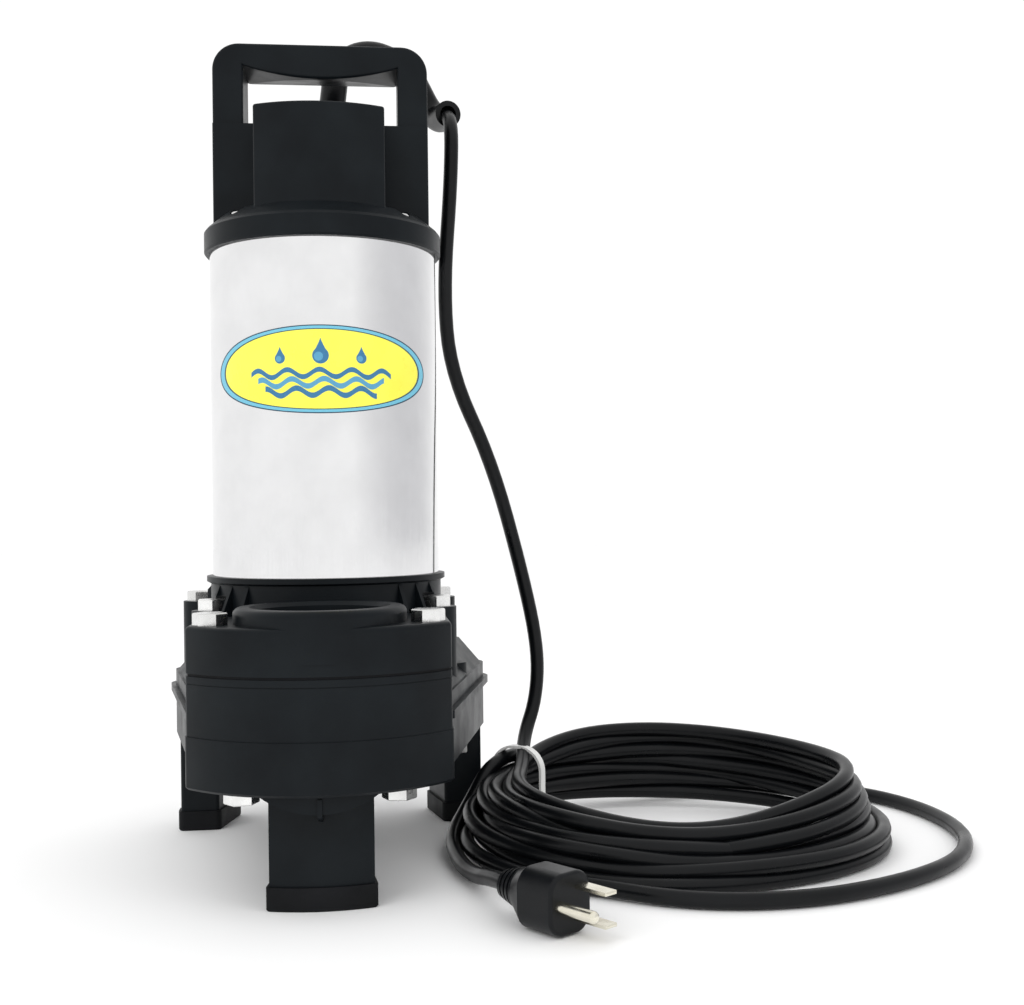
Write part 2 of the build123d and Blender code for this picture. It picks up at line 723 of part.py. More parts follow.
with BuildPart() as upper_bearing_bracket:
    with BuildSketch(radial()):
        with BuildLine():
            Polyline((12, 272), (54.8, 272), (54.8, 283.5), (49, 283.5), (49, 277), (26, 277), (26, 288.5),
                     (BEARING_R, 288.5), (BEARING_R, UPPER_BEARING), (12, UPPER_BEARING), close=True)
        make_face()
    revolve(axis=SHAFT_AXIS)
    # bosses for the cover screws and windows for the leads
    with BuildSketch(level(277)):
        with Locations(*COVER_SCREWS):
            Circle(4.8)
        Circle(54.8, mode=Mode.INTERSECT)
    extrude(amount=6.5)
    with BuildSketch(level(272)):
        with Locations(*COVER_SCREWS):
            Circle(2.05)
        with PolarLocations(37, 4):
            Circle(6)
    extrude(amount=15, mode=Mode.SUBTRACT)
upper_bearing_bracket.part.label = "upper_bearing_bracket"

with BuildPart() as motor_shell:
    add(ring(SHELL_R - SHELL_T, SHELL_R, SHELL_BOTTOM, SHELL_TOP))
motor_shell.part.label = "motor_shell"

# the label is an ellipse before it is wrapped, so its height follows the arc length
LABEL_SPAN = 60.0
LABEL_HALF_HEIGHT = 20.5
LABEL_Z = 234.8
LABEL_T = 0.35
label_edge = []
for step in range(0, 25):
    swing = LABEL_SPAN * cos(radians(180 - 7.5 * step))
    label_edge.append((SHELL_R * sin(radians(swing)), LABEL_HALF_HEIGHT * sin(radians(7.5 * step))))
with BuildPart() as shell_label:
    add(ring(SHELL_R, SHELL_R + LABEL_T, LABEL_Z - 30, LABEL_Z + 30))
    with BuildSketch(upright(0, 0, LABEL_Z)):
        with BuildLine():
            Spline(*label_edge)
            Spline(*[(x, -z) for x, z in label_edge])
        make_face()
    extrude(amount=80, mode=Mode.INTERSECT)
shell_label.part.label = "shell_label"

with BuildPart() as shell_seal_bottom:
    add(seal_ring(1.2, 53.7, 143))
shell_seal_bottom.part.label = "shell_seal_bottom"

with BuildPart() as shell_seal_top:
    add(seal_ring(1.2, 53.7, 291))
shell_seal_top.part.label = "shell_seal_top"

# ---------------------------------------------------------------- cover and handle
BOX_HALF = 30.8
WING_DEPTH = 17.0
TONGUE_BOTTOM = 326.0
GLAND_Y = 36.0
SEAT_TOP = 309.0


def box_outline(grow=0.0):
    """Plan of the capacitor box on the cover, with its bowed front."""
    with BuildSketch(mode=Mode.PRIVATE) as plan:
        with BuildLine():
            Polyline((-BOX_HALF, -42), (-BOX_HALF, WING_DEPTH), (BOX_HALF, WING_DEPTH), (BOX_HALF, -42))
            ThreePointArc((BOX_HALF, -42), (0, -49.5), (-BOX_HALF, -42))
        make_face()
        fillet(plan.vertices(), radius=1.5)
        if grow:
            offset(amount=grow)
    return plan.sketch


with BuildPart() as top_cover:
    with BuildSketch(radial()):
        with BuildLine():
            Polyline((0, RIM_TOP), (50.5, RIM_TOP), (57.4, RIM_BAND_TOP + 1.5), (58.6, RIM_BAND_TOP),
                     (58.6, RIM_BOTTOM + 1), (57.8, RIM_BOTTOM), (56.1, RIM_BOTTOM), (56.1, 303),
                     (54.9, 303), (54.9, 284), (46.5, 284), (46.5, 306), (0, 306), close=True)
        make_face()
    revolve(axis=SHAFT_AXIS)
    with BuildSketch(level(RIM_TOP - 2)):
        add(box_outline())
    extrude(amount=BOX_TOP - RIM_TOP + 2)
    box_top = top_cover.faces().sort_by(Axis.Z)[-1]
    fillet(box_top.edges(), radius=1.2)
    # wings that hold the handle's tongues
    for side in (-1, 1):
        with BuildSketch(level(RIM_TOP - 4, side * (BOX_HALF + GRIP_HALF - 3) / 2)):
            RectangleRounded(GRIP_HALF - BOX_HALF + 3, 2 * WING_DEPTH, 1.4)
        extrude(amount=COVER_TOP - 0.5 - RIM_TOP + 4)
    # cable gland boss
    with BuildSketch(level(RIM_TOP - 2, 0, GLAND_Y)):
        Circle(13)
    extrude(amount=GLAND_TOP - RIM_TOP + 2)
    # inside of the box, sockets, cable way
    with BuildSketch(level(305)):
        add(box_outline(-2.8))
    extrude(amount=BOX_TOP - 2.8 - 305, mode=Mode.SUBTRACT)
    for side in (-1, 1):
        with BuildSketch(level(TONGUE_BOTTOM, side * 44)):
            Rectangle(11.6, 25.2)
        extrude(amount=60, mode=Mode.SUBTRACT)
    with BuildSketch(level(300, 0, GLAND_Y)):
        Circle(7.5)
    extrude(amount=60, mode=Mode.SUBTRACT)
    # groove for the seal ring
    with BuildSketch(radial()):
        with Locations((53.9, 291)):
            Rectangle(3, 3)
    revolve(axis=SHAFT_AXIS, mode=Mode.SUBTRACT)
    # seats and holes for the cover screws
    with BuildSketch(level(SEAT_TOP)):
        with Locations(*COVER_SCREWS):
            Circle(4.5)
    extrude(amount=20, mode=Mode.SUBTRACT)
    with BuildSketch(level(280)):
        with Locations(*COVER_SCREWS):
            Circle(2.05)
    extrude(amount=40, mode=Mode.SUBTRACT)
    # cross holes for the handle screws, from the back
    for side in (-1, 1):
        with BuildSketch(upright(WING_DEPTH + 1)):
            with Locations((side * 44, 334), (side * 44, 350)):
                Circle(2.6)
        extrude(amount=6, mode=Mode.SUBTRACT)
top_cover.part.label = "top_cover"

with BuildPart() as cover_screws:
    with BuildSketch(level(SEAT_TOP)):
        with Locations(*COVER_SCREWS):
            Circle(3.9)
    extrude(amount=3)
    fillet(cover_screws.faces().filter_by(Axis.Z).group_by(Axis.Z)[-1].edges(), radius=1.2)
    with BuildSketch(level(SEAT_TOP + 1.4)):
        with Locations(*COVER_SCREWS):
            Rectangle(4.4, 0.9)
            Rectangle(0.9, 4.4)
    extrude(amount=3, mode=Mode.SUBTRACT)
    with BuildSketch(level(277)):
        with Locations(*COVER_SCREWS):
            Circle(2)
    extrude(amount=SEAT_TOP - 277)
cover_screws.part.label = "cover_screws"

with BuildPart() as handle:
    with BuildSketch(upright()):
        with Locations((0, (COVER_TOP + HANDLE_TOP) / 2)):
            Rectangle(2 * GRIP_HALF, HANDLE_TOP - COVER_TOP)
        fillet(vertices().group_by(Axis.Y)[-1], radius=13)
        with BuildLine():
            Polyline((OPENING_HALF, OPENING_TOP), (OPENING_HALF, COVER_TOP), (-OPENING_HALF, COVER_TOP),
                     (-OPENING_HALF, OPENING_TOP))
            ThreePointArc((-OPENING_HALF, OPENING_TOP), (0, BELLY_BOTTOM), (OPENING_HALF, OPENING_TOP))
        make_face(mode=Mode.SUBTRACT)
    extrude(amount=GRIP_DEPTH / 2, both=True)
    fillet(handle.edges().filter_by(Axis.Y, reverse=True).filter_by_position(Axis.Z, 361, 400), radius=1.6)
    # underside of the grip: full at the front, flat at the back
    with BuildSketch(Plane.YZ.offset(-OPENING_HALF)):
        with BuildLine():
            Polyline((SHAFT_Y - 12, BELLY_BOTTOM), (SHAFT_Y + GRIP_DEPTH / 2, OPENING_TOP),
                     (SHAFT_Y + GRIP_DEPTH / 2, BELLY_BOTTOM - 3), (SHAFT_Y - 12, BELLY_BOTTOM - 3), close=True)
        make_face()
    extrude(amount=2 * OPENING_HALF, mode=Mode.SUBTRACT)
    # tongues that stand in the cover's sockets
    for side in (-1, 1):
        with BuildSketch(level(TONGUE_BOTTOM + 0.5, side * 44)):
            Rectangle(11.4, 25)
        extrude(amount=COVER_TOP - TONGUE_BOTTOM)
        with BuildSketch(upright(WING_DEPTH - 4)):
            with Locations((side * 44, 334), (side * 44, 350)):
                Circle(2.05)
        extrude(amount=12, mode=Mode.SUBTRACT)
handle.part.label = "handle"

with BuildPart() as handle_screws:
    for side in (-1, 1):
        with BuildSketch(upright(WING_DEPTH)):
            with Locations((side * 44, 334), (side * 44, 350)):
                Circle(4)
        extrude(amount=-2.2)
        with BuildSketch(upright(WING_DEPTH)):
            with Locations((side * 44, 334), (side * 44, 350)):
                Circle(2)
        extrude(amount=14)
    fillet(handle_screws.faces().filter_by(Axis.Y).group_by(Axis.Y)[-1].edges(), radius=0.9)
handle_screws.part.label = "handle_screws"

# ---------------------------------------------------------------- electrical parts in the cover
with BuildPart() as capacitor:
    with BuildSketch(level(302, 0, -20)):
        Circle(20)
    extrude(amount=52)
    fillet(capacitor.faces().filter_by(Axis.Z).edges(), radius=1.5)
    with BuildSketch(level(300, 0, -20)):
        with Locations((-6, 0), (6, 0)):
            Rectangle(0.8, 6.3)
    extrude(amount=3)
capacitor.part.label = "capacitor"

with BuildPart() as capacitor_clip:
    with BuildSketch(level(312, 0, -20)):
        Circle(21.6)
        Circle(20.05, mode=Mode.SUBTRACT)
        with Locations((0, 27)):
            Rectangle(12, 13)
        Circle(20.05, mode=Mode.SUBTRACT)
    extrude(amount=10)
capacitor_clip.part.label = "capacitor_clip"

with BuildPart() as terminal_block:
    with BuildSketch(level(277, 0, 37)):
        Rectangle(26, 11)
    extrude(amount=14)
    with BuildSketch(level(285, 0, 37)):
        with Locations((-8, 0), (8, 0)):
            Rectangle(5, 7)
    extrude(amount=10, mode=Mode.SUBTRACT)
terminal_block.part.label = "terminal_block"

with BuildPart() as inner_lead:
    with BuildSketch(level(291, 0, GLAND_Y)):
        Circle(CORD_R)
    extrude(amount=330 - 291)
inner_lead.part.label = "inner_lead"

with BuildPart() as gland_grommet:
    with BuildSketch(level(313, 0, GLAND_Y)):
        Circle(7.4)
        Circle(CORD_R, mode=Mode.SUBTRACT)
    extrude(amount=16)
gland_grommet.part.label = "gland_grommet"

with BuildPart() as gland_nut:
    with BuildSketch(level(330, 0, GLAND_Y)):
        RegularPolygon(11, 6, major_radius=False)
        Circle(7.2, mode=Mode.SUBTRACT)
    extrude(amount=12)
    chamfer(gland_nut.faces().sort_by(Axis.Z)[-1].outer_wire().edges(), length=1)
gland_nut.part.label = "gland_nut"

# ---------------------------------------------------------------- cord boot
BOOT_ROUTE = [(0, 36, 330), (0, 36, 348), (8.4, 39, 420.5), (44, 47, 410), (60, 58, 383), (65.5, 31, 380)]
BOOT_RADII = [60, 21, 22, 11]
MOUTH_DEPTH = 10.5


def line_of(points, radii):
    """Route of straight runs joined by tangent arcs, from points counted from the shaft."""
    with BuildLine(mode=Mode.PRIVATE) as route:
        FilletPolyline(*from_shaft(points), radius=radii)
    return route.line


boot_line = line_of(BOOT_ROUTE, BOOT_RADII)
boot_mouth = Plane(origin=boot_line @ 1, z_dir=boot_line % 1)
with BuildPart() as cord_boot:
    with BuildSketch(Plane(origin=boot_line @ 0, z_dir=boot_line % 0)):
        Circle(BOOT_R)
    sweep(path=boot_line)
    with BuildSketch(level(343, 0, GLAND_Y)):
        Circle(9.5)
    with BuildSketch(level(368, 1.6, GLAND_Y + 0.6)):
        Circle(BOOT_R)
    loft()
    with BuildSketch(boot_mouth):
        Circle(CORD_R + 0.6)
    extrude(amount=-MOUTH_DEPTH, mode=Mode.SUBTRACT)
cord_boot.part.label = "cord_boot"


# ---------------------------------------------------------------- power cord
# The coil is one body of the coil's outer shape; a tube stands for each free stretch.
HANG_ROUTE = [(66.3, 15, 375.8), (65.7, 15.5, 341), (61.8, 29.5, 287), (65.5, 38, 243), (88, 44.5, 195),
              (105, 50, 132), (113.5, 51.8, 80), (107, 49.5, 42)]
LOOP_ROUTE = [(112, -98, 4), (152, -130, 4), (202, -135, 4), (252, -116, 4), (295, -82, 4), (319, -33, 4),
              (319, 27, 4), (295, 74, 4), (250, 92, 4), (208, 89, 4), (168, 74, 4)]
LEAD_ROUTE = [(93, 34, 30), (71, 11, 17), (59.5, -15, 6), (61.5, -54, 4), (67, -80, 4.6), (73.5, -106, 10.5)]
PLUG_DIRECTION = (0.6, -0.8, 0)
COLLAR_END = (77, -124, 13)
LEAD_END = (78.2, -125.6, 13)


def bend_radii(points):
    """Bend radius at every inner point, as large as its two runs allow."""
    radii = []
    for before, corner, after in zip(points, points[1:], points[2:]):
        arriving = Vector(corner) - Vector(before)
        leaving = Vector(after) - Vector(corner)
        half_turn = radians(arriving.get_angle(leaving)) / 2
        radii.append(0.45 * min(arriving.length, leaving.length) / tan(half_turn))
    return radii


def cord_tube(name, points):
    """Free stretch of the cord: one tube along its route."""
    radii = bend_radii(points)
    route = line_of(points, radii)
    with BuildPart(mode=Mode.PRIVATE) as tube:
        with BuildSketch(Plane(origin=route @ 0, z_dir=route % 0)):
            Circle(CORD_R)
        sweep(path=route)
    length = sum(edge.length for edge in route.edges())
    filled = tube.part.volume / (pi * CORD_R ** 2 * length)
    print(name, "bend radii", [round(radius, 1) for radius in radii], "length", round(length, 1))
    print(name, "volume over section times length", round(filled, 4))
    return tube.part


hang_start = boot_mouth.origin - boot_mouth.z_dir * MOUTH_DEPTH
hang_first = (hang_start.X, hang_start.Y - SHAFT_Y, hang_start.Z)
with BuildPart() as cord_hanging:
    add(cord_tube("cord_hanging", [hang_first] + HANG_ROUTE))
cord_hanging.part.label = "cord_hanging"

with BuildPart() as cord_loop:
    add(cord_tube("cord_loop", LOOP_ROUTE))
cord_loop.part.label = "cord_loop"

with BuildPart() as cord_lead:
    add(cord_tube("cord_lead", LEAD_ROUTE + [LEAD_END]))
cord_lead.part.label = "cord_lead"

# tie round the bundle at the back left of the coil
TIE_ANGLE = 146.0
TIE_R = 85.0
tie_out = (cos(radians(TIE_ANGLE)), sin(radians(TIE_ANGLE)), 0)
tie_plane = Plane(origin=(COIL_X, SHAFT_Y + COIL_Y, 0), x_dir=tie_out, z_dir=(tie_out[1], -tie_out[0], 0))
with BuildPart() as cord_tie:
    with BuildSketch(tie_plane):
        with Locations((TIE_R, 25)):
            RectangleRounded(30, 37, 13)
            RectangleRounded(27.4, 34.4, 11.7, mode=Mode.SUBTRACT)
    extrude(amount=2.4, both=True)
    with BuildSketch(tie_plane):
        with Locations((TIE_R - 13, 16)):
            Rectangle(4, 6)
    extrude(amount=3, both=True)
cord_tie.part.label = "cord_tie"

with BuildPart() as cord_coil:
    with BuildSketch(level(0.2, COIL_X, COIL_Y)):
        Circle(COIL_R)
        Circle(COIL_EYE, mode=Mode.SUBTRACT)
    extrude(amount=COIL_BACK)
    slope = Plane(origin=(COIL_X, SHAFT_Y + COIL_Y, (COIL_BACK + COIL_FRONT) / 2), x_dir=(1, 0, 0),
                  z_dir=(0, -(COIL_BACK - COIL_FRONT) / (2 * COIL_R), 1))
    split(bisect_by=slope, keep=Keep.BOTTOM)
    fillet(cord_coil.faces().sort_by(Axis.Z)[0].edges(), radius=5)
    fillet(cord_coil.faces().sort_by(Axis.Z)[-1].edges(), radius=5)
    add(cord_tie.part, mode=Mode.SUBTRACT)
cord_coil.part.label = "cord_coil"

# ---------------------------------------------------------------- three-pin plug, lying on its side
COLLAR_LENGTH = 11.0
PLUG_LENGTH = 39.0
BLADE_SPACING = 12.7
BLADE_WIDTH = 6.35
BLADE_THICK = 1.5
BLADE_LENGTH = 17.0
BLADE_X = 3.6
PIN_OFFSET = 11.9
PIN_R = 2.4
PIN_LENGTH = 20.3
EMBED = 4.0
plug_plane = Plane(origin=from_shaft([COLLAR_END])[0], x_dir=(0.8, 0.6, 0), z_dir=PLUG_DIRECTION)

with BuildPart() as plug_blades:
    with BuildSketch(plug_plane.offset(PLUG_LENGTH - EMBED)):
        with Locations((BLADE_X, BLADE_SPACING / 2), (BLADE_X, -BLADE_SPACING / 2)):
            Rectangle(BLADE_WIDTH, BLADE_THICK)
    extrude(amount=EMBED + BLADE_LENGTH)
    chamfer(plug_blades.faces().sort_by(Axis((0, 0, 0), PLUG_DIRECTION))[-2:].edges(), length=0.5)
    blade_side = Plane(origin=plug_plane.origin, x_dir=PLUG_DIRECTION, z_dir=(0, 0, 1))
    with BuildSketch(blade_side):
        with Locations((PLUG_LENGTH + 12, BLADE_X * -1)):
            Circle(1.6)
    extrude(amount=20, both=True, mode=Mode.SUBTRACT)
plug_blades.part.label = "plug_blades"

with BuildPart() as plug_pin:
    with BuildSketch(plug_plane.offset(PLUG_LENGTH - EMBED)):
        with Locations((BLADE_X - PIN_OFFSET, 0)):
            Circle(PIN_R)
    extrude(amount=EMBED + PIN_LENGTH)
    fillet(plug_pin.faces().sort_by(Axis((0, 0, 0), PLUG_DIRECTION))[-1].edges(), radius=2)
plug_pin.part.label = "plug_pin"

with BuildPart() as plug_body:
    with BuildSketch(plug_plane.offset(COLLAR_LENGTH)):
        Circle(9)
    with BuildSketch(plug_plane.offset(COLLAR_LENGTH + 9)):
        with Locations((-1.7, 0)):
            RectangleRounded(23, 25, 8)
    loft()
    with BuildSketch(plug_plane.offset(COLLAR_LENGTH + 9)):
        with Locations((-1.7, 0)):
            RectangleRounded(23, 25, 8)
    extrude(amount=PLUG_LENGTH - COLLAR_LENGTH - 9)
    fillet(plug_body.faces().sort_by(Axis((0, 0, 0), PLUG_DIRECTION))[-1].edges(), radius=1.5)
    add(plug_blades.part, mode=Mode.SUBTRACT)
    add(plug_pin.part, mode=Mode.SUBTRACT)
plug_body.part.label = "plug_body"

with BuildPart() as plug_collar:
    with BuildSketch(plug_plane):
        Circle(6)
    with BuildSketch(plug_plane.offset(COLLAR_LENGTH)):
        Circle(9)
    loft()
    for rib in range(3):
        with BuildSketch(plug_plane.offset(2.2 + 3 * rib)):
            Circle(12)
            Circle(6 + 0.8 * rib, mode=Mode.SUBTRACT)
        extrude(amount=1.2, mode=Mode.SUBTRACT)
plug_collar.part.label = "plug_collar"

# ---------------------------------------------------------------- write every piece
PIECES = [
    lower_casing, casing_gasket, upper_casing, casing_screws, discharge_gasket, discharge_flange, flange_bolts,
    wear_plate, suction_strainer, strainer_screws, foot_front, foot_rear_left, foot_rear_right, motor_bracket,
    bracket_bolts, seal_seat, shaft_lip_seal, seal_head, seal_spring, lower_bearing_outer_race,
    lower_bearing_inner_race, lower_bearing_balls, upper_bearing_outer_race, upper_bearing_inner_race,
    upper_bearing_balls, motor_shaft, impeller, impeller_key, impeller_nut, rotor_core, rotor_cage, stator_core,
    stator_windings, upper_bearing_bracket, motor_shell, shell_label, shell_seal_bottom, shell_seal_top,
    top_cover, cover_screws, handle, handle_screws, capacitor, capacitor_clip, terminal_block, inner_lead,
    gland_grommet, gland_nut, cord_boot, cord_hanging, cord_coil, cord_loop, cord_lead, cord_tie, plug_collar,
    plug_body, plug_blades, plug_pin,
]
os.makedirs("parts", exist_ok=True)
for piece in PIECES:
    export_step(piece.part, "parts/" + piece.part.label + ".step")
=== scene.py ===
import bpy
import json
from math import cos, radians, sin, sqrt
from mathutils import Matrix, Vector


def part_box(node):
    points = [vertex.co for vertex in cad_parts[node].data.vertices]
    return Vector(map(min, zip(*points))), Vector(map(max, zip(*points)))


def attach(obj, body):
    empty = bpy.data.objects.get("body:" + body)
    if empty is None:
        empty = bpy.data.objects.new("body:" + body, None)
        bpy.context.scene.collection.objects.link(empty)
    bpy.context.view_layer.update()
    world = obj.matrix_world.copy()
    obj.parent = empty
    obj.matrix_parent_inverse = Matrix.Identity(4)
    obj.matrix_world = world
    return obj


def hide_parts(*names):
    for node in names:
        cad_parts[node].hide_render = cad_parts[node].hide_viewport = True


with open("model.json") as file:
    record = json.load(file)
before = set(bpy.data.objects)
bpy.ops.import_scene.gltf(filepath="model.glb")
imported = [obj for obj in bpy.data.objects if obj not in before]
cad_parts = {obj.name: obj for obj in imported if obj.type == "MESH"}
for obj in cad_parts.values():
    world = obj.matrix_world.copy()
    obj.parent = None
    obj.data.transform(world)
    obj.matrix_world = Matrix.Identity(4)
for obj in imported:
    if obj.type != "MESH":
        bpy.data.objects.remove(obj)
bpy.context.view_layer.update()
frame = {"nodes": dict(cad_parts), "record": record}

# Submersible fountain pump: looks, cord, light and camera, in metres.
nodes = frame["nodes"]
scene = bpy.context.scene
MM = 0.001

shell_low, shell_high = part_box("motor_shell")
SHAFT = Vector(((shell_low.x + shell_high.x) / 2, (shell_low.y + shell_high.y) / 2, 0))
SHELL_R = (shell_high.x - shell_low.x) / 2


# ---------------------------------------------------------------- camera
CAMERA_FROM_SHAFT = (0.0229, -0.6721, 0.167)
CAMERA_SWING = radians(6.03)    # turn to the right
CAMERA_ROLL = radians(0.67)
CAMERA_LENS = 46.5
CAMERA_SHIFT = 0.0108


def make_camera():
    """Camera in front of the pump and a little to the right of the shaft, higher than the outlet."""
    data = bpy.data.cameras.new("camera")
    camera = bpy.data.objects.new("camera", data)
    scene.collection.objects.link(camera)
    swing, roll = CAMERA_SWING, CAMERA_ROLL
    ahead = Vector((sin(swing), cos(swing), 0))
    right = Vector((cos(swing), -sin(swing), 0))
    up = Vector((0, 0, 1))
    tilted_right = right * cos(roll) - up * sin(roll)
    tilted_up = right * sin(roll) + up * cos(roll)
    turn = Matrix((tilted_right, tilted_up, -ahead)).transposed().to_4x4()
    place = SHAFT + Vector(CAMERA_FROM_SHAFT)
    camera.matrix_world = Matrix.Translation(place) @ turn
    data.lens = CAMERA_LENS
    data.shift_y = CAMERA_SHIFT
    data.clip_start = 0.01
    scene.camera = camera


make_camera()

# ---------------------------------------------------------------- power cord
CORD_R = 3.7 * MM
coil_low, coil_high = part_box("cord_coil")
COIL = Vector(((coil_low.x + coil_high.x) / 2, (coil_low.y + coil_high.y) / 2, 0))
TURNS = 7
STEPS = 16                      # points per turn
TURN_START = 132.0              # angle of the first point, seen from above
TIE_STEPS = (0, 1)              # steps of each turn that pass through the tie
TIE_RADII = (75, 95)
TIE_HEIGHTS = (11.5, 39)
LAST_STEP = TURNS * STEPS + STEPS // 4
TURN_GAP = 2.06 * CORD_R / MM   # between the middles of neighbouring turns
EASING_ROUNDS = 120
PUSH = 0.25                     # part of a missing gap made good in one round
SMOOTHING = 0.15                # part of a shift's unevenness taken out in one round
WAVE, WAVES, WAVE_DRIFT = 2, 3, 2.1

# millimetres, in the order back, left, front and right of the coil
TOP_RADII, RADII_CHANGE = (93, 82, 65, 93), (-6, 26, 25, 16)
TOP_HEIGHTS, HEIGHTS_CHANGE = (43, 30, 19, 34), (-33, -22, -15, -29)
LEAST_RADII, MOST_RADII = (83, 76, 62, 84), (102, 110, 98, 113)
LEAST_HEIGHTS, MOST_HEIGHTS = (9.5, 4, 4, 4), (44, 32, 21, 38)
COIL_START = (88, 40)
# steps, each with its radius and height, over which the cord climbs from the loop to the lead
CLIMB = [(14, (104, 8)), (15, (102, 20)), (16, (95, 33)), (17, (96, 34))]

# points given one by one, counted from the shaft in millimetres
HANG = [(64.6, 41.6, 381.6), (66.3, 15, 375.8), (65.7, 15.5, 341), (61.8, 29.5, 287), (65.5, 38, 243),
        (88, 44.5, 195), (105, 50, 132), (113, 51.8, 92), (111.5, 51.5, 65), (103.5, 43, 46)]
LOOP = [(112, -100, 5), (152, -130, 4), (202, -135, 4), (252, -116, 4), (295, -82, 4), (318.9, -33, 4),
        (318.9, 27, 4), (295, 74, 4), (250, 90.8, 4), (206, 88, 6)]
LEAD = [(71, 11, 17), (59.5, -15, 6), (61.5, -54, 4), (67, -80, 4.6), (73.5, -106, 10.5), (78.2, -125.6, 13)]


def from_shaft(points):
    """Points counted from the shaft in millimetres, as points of the frame in metres."""
    return [Vector((x, y, z)) * MM + SHAFT for x, y, z in points]


def mixed(angle, back, left, front, right):
    """Blend of four values given for the four sides of the coil."""
    across, along = cos(angle), sin(angle)
    sideways = right if across > 0 else left
    lengthways = back if along > 0 else front
    return sideways * across ** 2 + lengthways * along ** 2


def angle_at(passed):
    """Angle of the coil's cord after so many steps."""
    return radians(TURN_START + 360 / STEPS * passed)


def turn_place(passed):
    """Radius and height of the coil's cord after so many steps: fanned at the front, stacked at the back."""
    level = passed / STEPS / TURNS
    angle = angle_at(passed)
    radius = mixed(angle, *[top + change * level for top, change in zip(TOP_RADII, RADII_CHANGE)])
    height = mixed(angle, *[top + change * level for top, change in zip(TOP_HEIGHTS, HEIGHTS_CHANGE)])
    return [radius + WAVE * sin(WAVES * angle + WAVE_DRIFT * passed / STEPS), height]


def kept_inside(place, passed):
    """Place moved back inside the coil's limits on its side."""
    angle = angle_at(passed)
    low = [mixed(angle, *LEAST_RADII), mixed(angle, *LEAST_HEIGHTS)]
    high = [mixed(angle, *MOST_RADII), mixed(angle, *MOST_HEIGHTS)]
    if passed % STEPS in TIE_STEPS:
        low, high = [TIE_RADII[0], TIE_HEIGHTS[0]], [TIE_RADII[1], TIE_HEIGHTS[1]]
    place[:] = [min(max(value, least), most) for value, least, most in zip(place, low, high)]


def ease_apart(turns, climb):
    """Push turns that share an angle apart until they lie a cord's width from each other."""
    planned = [list(place) for place in turns]
    for _ in range(EASING_ROUNDS):
        for step in range(STEPS):
            here = turns[step::STEPS] + [place for passed, place in climb if passed % STEPS == step]
            for number, one in enumerate(here):
                for other in here[number + 1:]:
                    away = (other[0] - one[0], other[1] - one[1])
                    apart = sqrt(away[0] ** 2 + away[1] ** 2) or 0.1
                    push = PUSH * max(0, TURN_GAP - apart) / apart
                    for part in (0, 1):
                        one[part] -= push * away[part]
                        other[part] += push * away[part]
        shifts = [[now - was for now, was in zip(*pair)] for pair in zip(turns, planned)]
        for number in range(1, len(turns) - 1):
            for part in (0, 1):
                mean = (shifts[number - 1][part] + shifts[number + 1][part]) / 2
                turns[number][part] += SMOOTHING * (mean - shifts[number][part])
        for passed, place in list(enumerate(turns)) + climb:
            kept_inside(place, passed)


def on_coil(passed, place):
    """Point of the frame for a radius and a height of the coil."""
    angle = angle_at(passed)
    return COIL + Vector((place[0] * cos(angle), place[0] * sin(angle), place[1])) * MM


def coil_points():
    """The coil's turns, from the top of the back left down to the floor, and the climb to the lead."""
    turns = [list(COIL_START)] + [turn_place(passed) for passed in range(1, LAST_STEP + 1)]
    climb = [(passed, list(place)) for passed, place in CLIMB]
    ease_apart(turns, climb)
    made = [on_coil(passed, place) for passed, place in enumerate(turns)][1:]
    return made, [on_coil(passed, place) for passed, place in climb]


def nurbs(name, points, radius):
    """Round cord along one smooth spline; each point carries the cord's radius, so bounds hold it."""
    data = bpy.data.curves.new(name, "CURVE")
    data.dimensions = "3D"
    data.bevel_depth = 1.0
    data.bevel_resolution = 4
    data.resolution_u = 6
    data.use_fill_caps = True
    spline = data.splines.new("NURBS")
    spline.points.add(len(points) - 1)
    for point, place in zip(spline.points, points):
        point.co = (*place, 1)
        point.radius = radius
    spline.order_u = 3
    spline.use_endpoint_u = True
    piece = bpy.data.objects.new(name, data)
    scene.collection.objects.link(piece)
    return piece


turns, climb = coil_points()
hang_points = from_shaft(HANG)
cord_points = hang_points + turns + from_shaft(LOOP) + climb + from_shaft(LEAD)
cord = nurbs("power_cord", cord_points, CORD_R)
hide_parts("cord_hanging", "cord_coil", "cord_loop", "cord_lead")
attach(cord, "housing")


